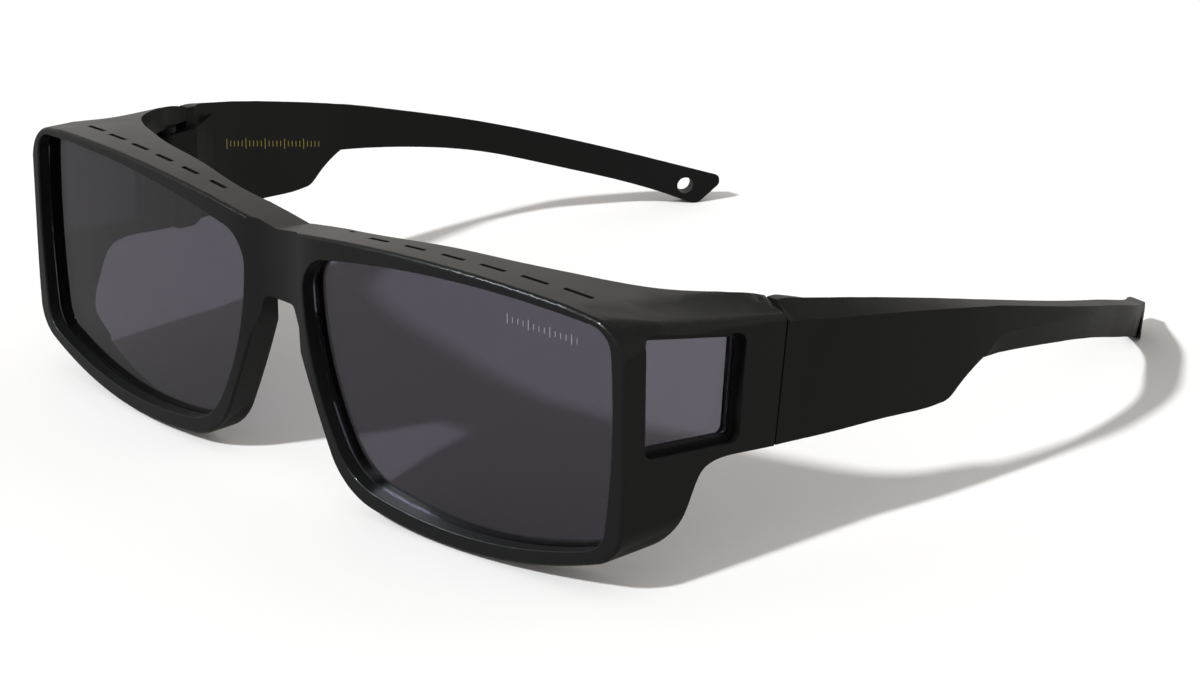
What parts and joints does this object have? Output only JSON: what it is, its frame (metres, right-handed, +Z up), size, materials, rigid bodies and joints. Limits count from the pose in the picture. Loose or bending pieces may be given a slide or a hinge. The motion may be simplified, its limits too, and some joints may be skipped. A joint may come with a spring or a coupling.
{
  "type": "fitover sunglasses",
  "caption": "Wraparound sunglasses worn over spectacles: tinted lenses, brow shelf with vents, side windows and folding temples.",
  "frame": {"origin": "centre of the footprint, on the level that the rims and the temple tips rest on", "axes": "+Z up, the front faces -Y, the temples run towards +Y, X across"},
  "size_m": [0.1586, 0.16, 0.0458],
  "materials": {
    "front_plastic": "satin black",
    "temple_plastic": "satin black",
    "lens_tint": "grey tint, polished",
    "side_lens_tint": "grey tint, polished",
    "hinge_steel": "turned steel"
  },
  "bodies": {
    "front": {"front_frame": "front_plastic", "lens_left": "lens_tint", "lens_right": "lens_tint", "side_lens_left": "side_lens_tint", "side_lens_right": "side_lens_tint", "hinge_screw_left": "hinge_steel", "hinge_screw_right": "hinge_steel"},
    "temple_left": {"temple_left": "temple_plastic"},
    "temple_right": {"temple_right": "temple_plastic"}
  },
  "joints": [
    {"name": "hinge_left", "type": "hinge", "parent": "front", "child": "temple_left", "pos_m": [0.0697, -0.0469, 0.031], "axis": [0, 0, 1], "range_deg": [0, 78]},
    {"name": "hinge_right", "type": "hinge", "parent": "front", "child": "temple_right", "pos_m": [-0.0697, -0.0469, 0.031], "axis": [0, 0, 1], "range_deg": [-90, 0]}
  ]
}
